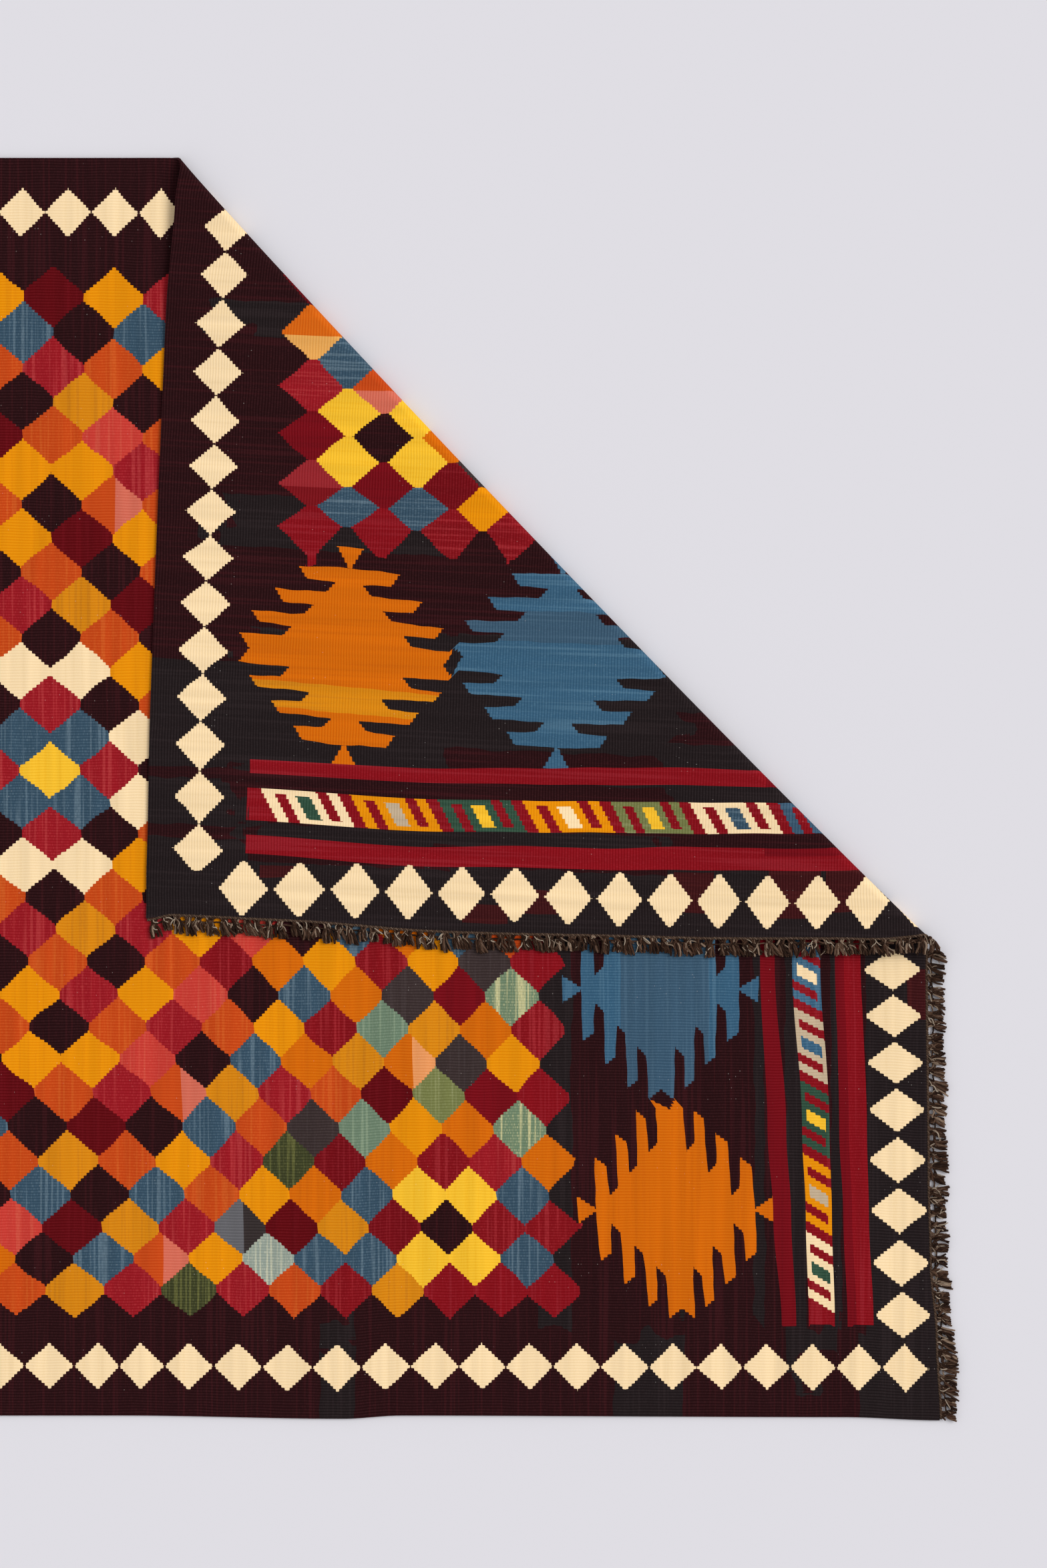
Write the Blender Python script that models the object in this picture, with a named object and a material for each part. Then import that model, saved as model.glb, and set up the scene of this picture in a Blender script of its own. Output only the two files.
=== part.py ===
"""Kilim rug lying flat, with one corner turned over onto its face and a cut fringe at both ends.

Metres, +Z up, the origin on the floor under the middle of the rug. The cloth is drawn flat first, as it was
woven, with X along the warps, Y across them and Z through its thickness. One function, folded(), then turns
the corner over, for the cloth and for the fringe alike.
"""

import math
import random
from bisect import bisect_right

import bmesh
import bpy
from mathutils import Vector

THICKNESS = 0.003
GRID_COLUMNS = 29
GRID_ROWS = 21

# Hand weaving and use leave each edge a little out of true. Columns: place along the edge, where it lies there.
FAR_SELVEDGE = (  # x, y
    (-1.086, 0.774),
    (0.159, 0.774),
    (0.217, 0.779),
    (0.351, 0.784),
    (0.833, 0.784),
    (1.025, 0.781),
    (1.095, 0.779),
)
NEAR_SELVEDGE = (  # x, y
    (-1.086, -0.772),
    (0.090, -0.770),
    (0.360, -0.774),
    (0.430, -0.770),
    (0.975, -0.772),
    (1.091, -0.776),
)
RIGHT_END = (  # y, x
    (-0.776, 1.0915),
    (-0.677, 1.0865),
    (-0.580, 1.0790),
    (-0.483, 1.0765),
    (-0.218, 1.0740),
    (-0.106, 1.0840),
    (0.138, 1.0900),
    (0.420, 1.0940),
    (0.607, 1.0880),
    (0.746, 1.0870),
    (0.779, 1.0940),
)
LEFT_END = (  # y, x
    (-0.776, -1.0870),
    (-0.300, -1.0840),
    (0.350, -1.0865),
    (0.779, -1.0860),
)

# The turned-over corner. The fold's outer edge runs from the far selvedge to the right end, bowed inwards.
FOLD_FROM = Vector((0.1590, 0.7740))
FOLD_TO = Vector((1.0815, -0.1855))
FOLD_BOW = 0.011
BOW_BLUNTNESS = 0.6  # under 1, the bow is flatter than a sine arch
BASE_BOW_REACH = 0.2  # how fast the bow dies out in the lower layer
FLAP_BOW_REACH = 0.6  # and where it has halved in the turned-over layer

# Cross-section of the fold: a soft roll, then a long slope that settles onto the lower layer.
ROLL_RADIUS = 0.0075  # to the middle of the cloth's thickness
ROLL_STEPS = 9
SETTLE_SLOPE = math.radians(4.0)
SETTLE_RADIUS = 0.15
LAYER_GAP = 0.0006

# Fringe: a netted strip along each end, with tufts twisted from the warp ends.
STRIP_GAP = 0.0003
STRIP_WIDTH = 0.006
TUFT_PITCH = 0.0128
TUFT_SHARE = 0.52  # part of the pitch that the tuft's root takes
TUFT_LENGTH = (0.015, 0.020)
TUFT_LEAN = 0.0022
TUFT_TIP_WIDTH = 0.6  # share of its root
TUFT_TIP_HEIGHT = 0.6  # share of the thickness
FRINGE_MARGIN = 0.001  # share of an end that the fringe leaves free at each selvedge
FLOOR_FRINGE_STOP = -0.004  # the fringe on the floor stops this far before the roll
FLAP_FRINGE_START = 0.001  # and the turned-over one starts this far into it
FACING = 0.7  # a face counts as facing a way when its normal leans this much towards it
SHARP_ANGLE = math.radians(30)

FOLD_LENGTH = (FOLD_TO - FOLD_FROM).length
FOLD_ALONG = (FOLD_TO - FOLD_FROM).normalized()
FOLD_OUT = Vector((-FOLD_ALONG.y, FOLD_ALONG.x))
OUTER_RADIUS = ROLL_RADIUS + THICKNESS / 2


def read_table(table, place):
    """Value between two rows of a table, eased so that an edge has no kink."""
    places = [row[0] for row in table]
    i = min(max(bisect_right(places, place), 1), len(table) - 1)
    (low, start), (high, end) = table[i - 1], table[i]
    t = min(max((place - low) / (high - low), 0.0), 1.0)
    return start + (end - start) * t * t * (3 - 2 * t)


def fold_profile():
    """Rows of the fold's cross-section: cloth used so far, then reach and height of both faces of the cloth."""
    drop = THICKNESS + LAYER_GAP
    rise = ROLL_RADIUS * (1 + math.cos(SETTLE_SLOPE))
    ease = SETTLE_RADIUS * (1 - math.cos(SETTLE_SLOPE))
    slope_run = (rise - ease - drop) / math.sin(SETTLE_SLOPE)
    turn = math.pi + SETTLE_SLOPE
    used, reach, height = 0.0, 0.0, THICKNESS / 2
    rows = []

    def add_row(angle):
        side, up = -math.sin(angle) * THICKNESS / 2, math.cos(angle) * THICKNESS / 2
        rows.append((used, reach - side, height - up, reach + side, height + up))

    add_row(0.0)
    for step in range(1, ROLL_STEPS + 1):
        angle = turn * step / ROLL_STEPS
        used = ROLL_RADIUS * angle
        reach = ROLL_RADIUS * math.sin(angle)
        height = THICKNESS / 2 + ROLL_RADIUS * (1 - math.cos(angle))
        add_row(angle)
    used += slope_run
    reach -= slope_run * math.cos(SETTLE_SLOPE)
    height -= slope_run * math.sin(SETTLE_SLOPE)
    add_row(turn)
    used += SETTLE_RADIUS * SETTLE_SLOPE
    reach -= SETTLE_RADIUS * math.sin(SETTLE_SLOPE)
    height -= ease
    add_row(math.pi)
    return rows


PROFILE = fold_profile()


def across_fold(used, depth):
    """Reach and height of a point in the fold's cross-section, depth being its share of the thickness."""
    if used <= 0:
        return used, depth * THICKNESS
    i = bisect_right([row[0] for row in PROFILE], used)
    if i == len(PROFILE):
        last = PROFILE[-1]
        return last[1] - (used - last[0]), last[2] + (last[4] - last[2]) * depth
    low, high = PROFILE[i - 1], PROFILE[i]
    t = (used - low[0]) / (high[0] - low[0])
    row = [a + (b - a) * t for a, b in zip(low, high)]
    return row[1] + (row[3] - row[1]) * depth, row[2] + (row[4] - row[2]) * depth


def bow(along, used, out):
    """How far the bowed fold shifts a point inwards."""
    share = along / FOLD_LENGTH
    if not 0 < share < 1:
        return 0.0
    arch = FOLD_BOW * math.sin(math.pi * share) ** BOW_BLUNTNESS
    if used <= 0:
        return arch * math.exp(used / BASE_BOW_REACH)
    t = min(max(-out / FLAP_BOW_REACH, 0.0), 1.0)
    return arch * (1 - 0.5 * t * t * (3 - 2 * t))


def folded(point):
    """Place of a point of the flat cloth once the corner is turned over."""
    offset = point.xy - FOLD_FROM
    along = offset.dot(FOLD_ALONG)
    used = offset.dot(FOLD_OUT) + OUTER_RADIUS
    reach, height = across_fold(used, point.z / THICKNESS)
    out = reach - OUTER_RADIUS
    place = FOLD_FROM + FOLD_ALONG * along + FOLD_OUT * (out - bow(along, used, out))
    return Vector((place.x, place.y, height))


def cloth_point(s, t):
    """Point of the flat cloth, s of the way from its left end to its right, t from its near side to its far."""
    y = NEAR_SELVEDGE[-1][1] * (1 - t) + FAR_SELVEDGE[-1][1] * t
    x = read_table(LEFT_END, y) * (1 - s) + read_table(RIGHT_END, y) * s
    return Vector((x, read_table(NEAR_SELVEDGE, x) * (1 - t) + read_table(FAR_SELVEDGE, x) * t, 0.0))


def end_point(s, t):
    """Point of the cloth's left (s = 0) or right (s = 1) end, straight between the cloth's own corners there."""
    row = min(int(t * GRID_ROWS), GRID_ROWS - 1)
    low, high = cloth_point(s, row / GRID_ROWS), cloth_point(s, (row + 1) / GRID_ROWS)
    return low.lerp(high, t * GRID_ROWS - row)


def thicken(bm):
    """Gives a flat sheet at z = 0 the cloth's thickness."""
    sheet = bm.faces[:]
    grown = bmesh.ops.extrude_face_region(bm, geom=sheet)["geom"]
    for vert in (item for item in grown if isinstance(item, bmesh.types.BMVert)):
        vert.co.z = THICKNESS
    bmesh.ops.recalc_face_normals(bm, faces=bm.faces)


def wool(name, colour):
    """Woven or twisted wool: matt, with no clear coat."""
    material = bpy.data.materials.new(name)
    material.use_nodes = True
    shader = material.node_tree.nodes["Principled BSDF"]
    shader.inputs["Base Color"].default_value = (*colour, 1.0)
    shader.inputs["Roughness"].default_value = 0.9
    shader.inputs["Metallic"].default_value = 0.0
    material.diffuse_color = (*colour, 1.0)
    return material


def add_object(name, bm, material, parent):
    bmesh.ops.triangulate(bm, faces=bm.faces)
    mesh = bpy.data.meshes.new(name)
    bm.to_mesh(mesh)
    bm.free()
    mesh.materials.append(material)
    mesh.shade_smooth()
    mesh.set_sharp_from_angle(angle=SHARP_ANGLE)
    thing = bpy.data.objects.new(name, mesh)
    thing.parent = parent
    bpy.context.scene.collection.objects.link(thing)
    return thing


def weave_cloth(material, parent):
    """The cloth in one piece, with its edges' wander, creased across at every step of the fold."""
    bm = bmesh.new()
    bmesh.ops.create_grid(bm, x_segments=GRID_COLUMNS, y_segments=GRID_ROWS, size=0.5)
    for vert in bm.verts:
        vert.co = cloth_point(vert.co.x + 0.5, vert.co.y + 0.5)
    for used, *_ in PROFILE:
        crease = FOLD_FROM + FOLD_OUT * (used - OUTER_RADIUS)
        whole = bm.verts[:] + bm.edges[:] + bm.faces[:]
        bmesh.ops.bisect_plane(
            bm, geom=whole, dist=1e-5, plane_co=(*crease, 0.0), plane_no=(*FOLD_OUT, 0.0)
        )
    thicken(bm)
    for vert in bm.verts:
        vert.co = folded(vert.co)
    return add_object("kilim_cloth", bm, material, parent)


def knot_fringe(name, s, span, turned, seed, material, parent):
    """Netted strip along a span of one end, with a tuft grown out of every second face of its outer side."""
    chance = random.Random(seed)
    outwards = 1 if s else -1
    length = (end_point(s, span[1]) - end_point(s, span[0])).length
    tufts = round(length / TUFT_PITCH)
    bm = bmesh.new()
    bmesh.ops.create_grid(bm, x_segments=1, y_segments=2 * tufts, size=0.5)
    for vert in bm.verts:
        half_steps = round((vert.co.y + 0.5) * 2 * tufts)
        share = (half_steps // 2 + half_steps % 2 * TUFT_SHARE) / tufts
        root = end_point(s, span[0] + (span[1] - span[0]) * share)
        root.x += outwards * (STRIP_GAP + STRIP_WIDTH * (vert.co.x + 0.5))
        vert.co = root
    thicken(bm)
    outer = [face for face in bm.faces if face.normal.x * outwards > FACING]
    outer.sort(key=lambda face: face.calc_center_median().y)
    tips = bmesh.ops.extrude_discrete_faces(bm, faces=outer[0::2])["faces"]
    resting = THICKNESS if turned else 0.0
    for tip in tips:
        middle = tip.calc_center_median()
        reach = chance.uniform(*TUFT_LENGTH)
        lean = chance.uniform(-TUFT_LEAN, TUFT_LEAN)
        for vert in tip.verts:
            vert.co.x += outwards * reach
            vert.co.y = middle.y + (vert.co.y - middle.y) * TUFT_TIP_WIDTH + lean
            vert.co.z = resting + (vert.co.z - resting) * TUFT_TIP_HEIGHT
    if turned:
        for vert in bm.verts:
            vert.co = folded(vert.co)
    return add_object(name, bm, material, parent)


def end_meets_roll(used_there):
    """Share of the right end at which this much of the cloth has gone into the roll."""
    low, high = 0.0, 1.0
    for _ in range(40):
        t = (low + high) / 2
        used = (end_point(1, t).xy - FOLD_FROM).dot(FOLD_OUT) + OUTER_RADIUS
        low, high = (t, high) if used < used_there else (low, t)
    return low


def main():
    for thing in list(bpy.context.scene.objects):
        bpy.data.objects.remove(thing)
    rug = bpy.data.objects.new("rug", None)
    bpy.context.scene.collection.objects.link(rug)

    cloth_wool = wool("tapestry wool", (0.045, 0.012, 0.016))
    warp_wool = wool("warp wool", (0.075, 0.050, 0.036))
    start, stop = FRINGE_MARGIN, 1 - FRINGE_MARGIN
    on_floor = (start, end_meets_roll(FLOOR_FRINGE_STOP))
    on_flap = (end_meets_roll(FLAP_FRINGE_START), stop)
    pieces = [
        weave_cloth(cloth_wool, rug),
        knot_fringe("fringe_left", 0, (start, stop), False, 7, warp_wool, rug),
        knot_fringe("fringe_right", 1, on_floor, False, 3, warp_wool, rug),
        knot_fringe("fringe_flap", 1, on_flap, True, 5, warp_wool, rug),
    ]

    corners = [vert.co for piece in pieces for vert in piece.data.vertices]
    xs, ys = [co.x for co in corners], [co.y for co in corners]
    rug.location = (-(min(xs) + max(xs)) / 2, -(min(ys) + max(ys)) / 2, 0.0)


main()
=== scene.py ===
"""Looks of a kilim rug that lies flat with one corner turned over onto its face.

The cloth is woven flat in cartoon columns and rows, a weaver's squared plan, and then folded. Tables give
where the columns and rows fell on this hand-woven rug. The wool's material draws the motifs on the same
columns and rows, rib by rib, so that slanted edges climb in the small steps of a slit tapestry weave.
"""

import math
import random
from bisect import bisect_right
from functools import partial
from types import SimpleNamespace

import bmesh
import bpy
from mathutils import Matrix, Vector, noise


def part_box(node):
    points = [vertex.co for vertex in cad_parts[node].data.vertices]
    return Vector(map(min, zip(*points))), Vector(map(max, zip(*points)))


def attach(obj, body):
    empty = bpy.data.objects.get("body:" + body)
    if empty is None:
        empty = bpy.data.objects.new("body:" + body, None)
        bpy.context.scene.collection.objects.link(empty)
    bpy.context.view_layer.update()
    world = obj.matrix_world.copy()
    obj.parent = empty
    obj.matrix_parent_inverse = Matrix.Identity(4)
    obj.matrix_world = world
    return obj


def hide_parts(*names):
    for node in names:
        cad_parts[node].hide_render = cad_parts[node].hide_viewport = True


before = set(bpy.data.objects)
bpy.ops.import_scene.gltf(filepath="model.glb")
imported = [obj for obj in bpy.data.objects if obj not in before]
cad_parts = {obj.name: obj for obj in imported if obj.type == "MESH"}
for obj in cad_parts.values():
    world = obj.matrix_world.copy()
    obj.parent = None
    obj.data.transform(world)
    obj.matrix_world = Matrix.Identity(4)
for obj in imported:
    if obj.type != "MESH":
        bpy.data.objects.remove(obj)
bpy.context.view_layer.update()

# The cloth as it was cut and folded, with the CAD's own sizes.
THICKNESS = 0.003
FAR_SELVEDGE = (  # x, y
    (-1.086, 0.774),
    (0.159, 0.774),
    (0.217, 0.779),
    (0.351, 0.784),
    (0.833, 0.784),
    (1.025, 0.781),
    (1.095, 0.779),
)
NEAR_SELVEDGE = (  # x, y
    (-1.086, -0.772),
    (0.090, -0.770),
    (0.360, -0.774),
    (0.430, -0.770),
    (0.975, -0.772),
    (1.091, -0.776),
)
RIGHT_END = (  # y, x
    (-0.776, 1.0915),
    (-0.677, 1.0865),
    (-0.580, 1.0790),
    (-0.483, 1.0765),
    (-0.218, 1.0740),
    (-0.106, 1.0840),
    (0.138, 1.0900),
    (0.420, 1.0940),
    (0.607, 1.0880),
    (0.746, 1.0870),
    (0.779, 1.0940),
)
LEFT_END = (  # y, x
    (-0.776, -1.0870),
    (-0.300, -1.0840),
    (0.350, -1.0865),
    (0.779, -1.0860),
)
FOLD_FROM = Vector((0.1590, 0.7740))
FOLD_TO = Vector((1.0815, -0.1855))
FOLD_BOW = 0.011
BOW_BLUNTNESS = 0.6
BASE_BOW_REACH = 0.2
FLAP_BOW_REACH = 0.6
ROLL_RADIUS = 0.0075
SETTLE_SLOPE = math.radians(4.0)
SETTLE_RADIUS = 0.15
LAYER_GAP = 0.0006
FRINGE_MARGIN = 0.002  # bare end beside each selvedge
FLOOR_FRINGE_STOP, FLAP_FRINGE_START = -0.004, 0.001  # cloth used in the roll where the fringe is parted

FOLD_LENGTH = (FOLD_TO - FOLD_FROM).length
FOLD_ALONG = (FOLD_TO - FOLD_FROM).normalized()
FOLD_OUT = Vector((-FOLD_ALONG.y, FOLD_ALONG.x))
OUTER_RADIUS = ROLL_RADIUS + THICKNESS / 2

# The weaver's plan. Rows count from the middle towards the near selvedge, columns from the middle outwards.
NEAR_ROW, FAR_ROW = 20, -18  # at the selvedges
FIELD_NEAR_ROW, FIELD_FAR_ROW, FIELD_COLUMN = 16, -14, 18  # the outermost lozenges
ROWS = (  # row, y on the middle line, y at the field's ends
    (-14, 0.605, 0.593),
    (-12, 0.517, 0.504),
    (-10, 0.435, 0.417),
    (-8, 0.349, 0.344),
    (-4, 0.185, 0.183),
    (0, 0.022, 0.024),
    (4, -0.133, -0.131),
    (6, -0.212, -0.212),
    (8, -0.292, -0.297),
    (10, -0.3715, -0.379),
    (12, -0.457, -0.459),
    (14, -0.539, -0.540),
    (16, -0.615, -0.617),
)
MIDDLE_LINE = (  # y, x
    (-0.615, 0.0295),
    (-0.457, 0.0220),
    (-0.292, 0.0107),
    (0.022, 0.0000),
    (0.605, 0.0040),
)
COLUMNS = (  # column, distance from the middle line in the near half, and at the far side
    (0, 0.000, 0.000),
    (2, 0.0725, 0.0750),
    (4, 0.1415, 0.1490),
    (6, 0.2080, 0.2220),
    (8, 0.2700, 0.2930),
    (10, 0.3340, 0.3630),
    (12, 0.3965, 0.4280),
    (14, 0.4610, 0.4870),
    (16, 0.5235, 0.5480),
    (18, 0.5890, 0.5990),
    (19, 0.6210, 0.6340),
)
SPREAD_FROM, SPREAD_TO = -0.2, 0.6  # y over which the columns open to their far spacing
END_STRIPES = (  # y, x of both edges of the inner red, guard and outer red stripes, and the diamonds' middle
    (-0.658, 0.8975, 0.9153, 0.9307, 0.9627, 0.9783, 1.0102, 1.0465),
    (-0.524, 0.8870, 0.9090, 0.9270, 0.9590, 0.9730, 1.0045, 1.0415),
    (-0.420, 0.8800, 0.9030, 0.9225, 0.9560, 0.9680, 1.0020, 1.0389),
    (-0.221, 0.8725, 0.8905, 0.9118, 0.9463, 0.9643, 0.9955, 1.0340),
    (0.020, 0.8810, 0.9010, 0.9200, 0.9580, 0.9765, 1.0040, 1.0434),
    (0.116, 0.8800, 0.9015, 0.9230, 0.9620, 0.9780, 1.0070, 1.0455),
    (0.225, 0.8840, 0.9056, 0.9260, 0.9645, 0.9845, 1.0110, 1.0470),
    (0.308, 0.8887, 0.9085, 0.9290, 0.9680, 0.9850, 1.0116, 1.0463),
    (0.455, 0.8946, 0.9123, 0.9325, 0.9725, 0.9920, 1.0160, 1.0483),
    (0.664, 0.8930, 0.9100, 0.9280, 0.9680, 0.9860, 1.0090, 1.0520),
)
COLUMN_STEPS = (  # cartoon column where a span starts, grid steps across the span
    (0, 57),
    (19, 20),
    (20, 3),
    (21, 2),
    (22, 4),
    (23, 2),
    (24, 3),
    (25, 4),
    (26, 5),
)
LAST_COLUMN = 27
ROW_STEPS = 3  # grid rows to one cartoon row
STRIPE_COLUMN, DIAMOND_COLUMN = 20, 26
LOZENGE_SLOPE = 0.76  # rows that a lozenge's edge climbs in one column, which leaves its side corners blunt
STRIPE_NEAR_ROW, STRIPE_FAR_ROW = 17.1, -15.4
DARK_RED_COLUMN = 24.35  # in the near half, the red stripes are crimson up to this column
ROW_HEIGHT = 0.0405
NEAR_DIAMONDS = (  # x, count of diamonds along the near border
    (-1.087, -17.5),
    (-0.0623, 0),
    (0.0590, 2),
    (0.1100, 3),
    (0.2304, 5),
    (0.4723, 9),
    (0.6460, 12),
    (0.8225, 15),
    (1.0488, 19),
    (1.0950, 19.8),
)
FAR_DIAMONDS = (  # x, count along the far border
    (-1.087, -18.5),
    (-0.0360, 0),
    (0.1369, 3),
    (0.2427, 5),
    (0.3609, 7),
    (0.4795, 9),
    (0.5344, 10),
    (0.7037, 13),
    (0.8774, 16),
    (1.0066, 18),
    (1.0950, 19.4),
)
END_DIAMONDS = (  # y, count along an end border
    (-0.776, -2.1),
    (-0.6470, 0),
    (-0.5182, 2),
    (-0.3944, 4),
    (-0.2222, 7),
    (-0.1032, 9),
    (0.0179, 11),
    (0.1363, 13),
    (0.2608, 15),
    (0.3932, 17),
    (0.5224, 19),
    (0.6622, 21),
    (0.779, 22.8),
)
GUARD_FIGURES = (  # y, count of frames along the guard stripe
    (-0.776, 14.3),
    (-0.6370, 13),
    (-0.5433, 12),
    (-0.4480, 11),
    (-0.2676, 9),
    (-0.0870, 7),
    (0.0080, 6),
    (0.1170, 5),
    (0.2130, 4),
    (0.3220, 3),
    (0.4260, 2),
    (0.5340, 1),
    (0.6450, 0),
    (0.779, -1.2),
)
NEAR_DIAMOND_ROW, NEAR_DIAMOND_HALF = 18.42, 0.74  # the near border's middle, and half a diamond's rows
FAR_DIAMONDS_SHIFT = (0.10, 0.75, 16.41, 16.68)  # x from and to, rows out to the far border's middle
FAR_DIAMONDS_TAPER = (0.10, 0.30, 0.70, 0.65)  # x from and to, half a diamond's rows
NEAR_BORDER_REACH, FAR_BORDER_REACH = 1.079, 1.034  # where the long borders stop at the corners
LONG_HALF, END_HALF_ALONG, END_HALF_ACROSS = 0.495, 0.45, 0.036  # half diamonds: counts, counts and metres
END_TIP = 0.0333  # blunt side tips of the end border's diamonds
GUARD_PITCH, END_PITCH = 0.098, 0.0622
GUARD_SLANT = -0.21  # of a frame's pitch across the guard
GUARD_BARS = ((0.0, 0.13), (0.25, 0.62), (0.74, 0.86))  # a frame's upright bars along its pitch
GUARD_RAIL = 0.14  # depth of a frame's top and bottom, which join its bars
TOP_RAIL, BOTTOM_RAIL = (0.0, 0.5), (0.4, 0.86)
GUARD_CORE = (0.36, 0.52, 0.17, 0.87)  # along a frame from and to, across from and to
GUARD_COUNT = 16
MEDALLIONS = (  # its middle's y and x, size along x and y, lean, dye, band's dye, band from and to
    (-0.5174, 0.7675, 1.00, 1.00, 0.060, "O", "O", 0.000, 0.001),
    (-0.2452, 0.7495, 1.00, 1.00, 0.000, "a", "l", -0.049, 0.060),
    (0.0180, 0.7560, 0.90, 0.80, 0.000, "O", "m", 0.030, 0.060),
    (0.2810, 0.7547, 1.10, 1.00, 0.000, "a", "l", -0.055, -0.020),
    (0.5434, 0.7612, 1.12, 1.00, 0.045, "O", "m", 0.033, 0.062),
)
MEDALLION_PITCH = 0.266
MEDALLION_ARMS = (  # distance from the middle where an arm or slot starts and stops, its half width there
    (-0.1210, -0.0968, 0.0164, 0.0012),
    (-0.0968, -0.0812, 0.0631, 0.0525),
    (-0.0812, -0.0689, 0.0164, 0.0279),
    (-0.0689, -0.0541, 0.0918, 0.0812),
    (-0.0541, -0.0418, 0.0435, 0.0549),
    (-0.0418, -0.0287, 0.1197, 0.1099),
    (-0.0287, -0.0164, 0.0697, 0.0812),
    (-0.0164, 0.0000, 0.1337, 0.1214),
    (0.0000, 0.0164, 0.1214, 0.1337),
    (0.0164, 0.0287, 0.0697, 0.0812),
    (0.0287, 0.0418, 0.1197, 0.1099),
    (0.0418, 0.0541, 0.0435, 0.0549),
    (0.0541, 0.0689, 0.0918, 0.0812),
    (0.0689, 0.0812, 0.0164, 0.0279),
    (0.0812, 0.0968, 0.0631, 0.0525),
    (0.0968, 0.1210, 0.0012, 0.0164),
)
MEDALLION_REACH = 0.125
MEDALLION_WIDEST = 0.140
MEDALLION_TIP = 0.1205

# Dyes. Second tones show as streaks, or take one side of a lozenge woven from two balls of wool.
TWO_BALLS = 1.0
DYES = {  # letter: main colour, second colour, strength of the streaks
    "k": ("#2B0F12", "#4A1A1F", 0.45),  # aubergine
    "n": ("#241C1D", "#342A2B", 0.45),  # blue-black
    "K": ("#3F1416", "#56201F", 0.45),  # maroon
    "i": ("#FEE1B2", "#F4D5A2", 0.35),  # ivory
    "y": ("#FCC533", "#F4B51F", 0.40),  # yellow
    "g": ("#EC9405", "#DA8408", 0.40),  # gold
    "m": ("#DC8A12", "#C2781A", 0.60),  # mustard
    "o": ("#C94B17", "#DC6E2C", 0.45),  # burnt orange
    "O": ("#D96D06", "#C96208", 0.40),  # orange
    "c": ("#7A0C18", "#690B16", 0.40),  # crimson
    "C": ("#9C1A24", "#C64A4A", 0.50),  # crimson, tie-dyed
    "d": ("#620710", "#74121C", 0.40),  # dark crimson
    "D": ("#760C16", "#962830", 0.50),  # dark crimson, tie-dyed
    "r": ("#8A0F1A", "#A02C36", 0.45),  # red
    "R": ("#87111A", "#B4383E", 0.50),  # red, tie-dyed
    "S": ("#CB4036", "#D8664F", 0.45),  # salmon
    "b": ("#3B5364", "#8499A4", 0.42),  # blue
    "B": ("#96A195", "#D8D5B6", 0.80),  # pale blue, tie-dyed
    "a": ("#3C627C", "#668BA0", 0.42),  # azure
    "l": ("#3F5B70", "#587589", 0.40),  # slate
    "t": ("#71866F", "#A0B092", 0.50),  # teal sage
    "G": ("#787D4A", "#9EA172", 0.50),  # sage green
    "e": ("#3F4227", "#84844A", 0.50),  # olive green
    "E": ("#33503F", "#4A6A54", 0.40),  # dark green
    "h": ("#3E3231", "#4E4342", 0.50),  # charcoal
    "f": ("#C8B294", "#B4A084", 0.40),  # fawn
    "v": ("#73886C", "#D8D09A", 0.90),  # sage and straw, tie-dyed
    "u": ("#68676A", "#3A3231", TWO_BALLS),  # grey and charcoal
    "x": ("#CB4D18", "#D8705A", TWO_BALLS),  # burnt orange and salmon
    "X": ("#DC6A14", "#EFAE5C", TWO_BALLS),  # orange and sand
    "z": ("#9C2A30", "#80141C", TWO_BALLS),  # rose and crimson
    "q": ("#D66A08", "#EE9E62", TWO_BALLS),  # orange and peach
}
PALETTE_SIZE = 32
# Dyes of the even and odd lozenges of each ring, from the middle outwards.
RINGS_RIGHT = "y- Cb ki og kC og CS ok gb CO".split()
RINGS_LEFT = "y- Cb ki oC kg og dk ob Sk oO".split()
OUTER_RINGS = {  # ring: its dyes along a quarter, from the long sides to the short ones
    10: "egugehomthgbhgb",
    11: "CBdODtdqmchoc",
    12: "obmbOgGhOvr",
    13: "RbDyROcgR",
    14: "mykyCvr",
    15: "ryRbO",
    16: "rbR",
    17: "r",
}
WEAVERS_CHANGES = {  # column and row of a first lozenge: dyes from there outwards, every second column
    (0, -14): "d",
    (-2, -14): "g",
    (10, -14): "XCczr",
    (11, -13): "byyb",
    (0, -12): "C",
    (12, -12): "xkcr",
    (1, -11): "m",
    (13, -11): "yyb",
    (2, -10): "S",
    (14, -10): "ODR",
    (3, -9): "C",
    (17, -9): "g",
    (2, -8): "x",
    (4, -8): "o",
    (18, -8): "R",
    (1, -7): "d",
    (1, -5): "md",
    (1, 5): "m",
    (6, 6): "RO",
    (12, 6): "R",
    (10, 8): "R",
    (4, 10): "xm",
    (1, 11): "d",
    (7, 11): "o",
    (0, 12): "m",
    (5, 13): "o",
    (0, 14): "dm",
    (3, 15): "x",
    (0, 16): "m",
}
GUARD_DYES = "iE gf Ey gi Gy ib lr gf ai fa Ey gf iE".split()  # each frame's dye and its core's
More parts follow.
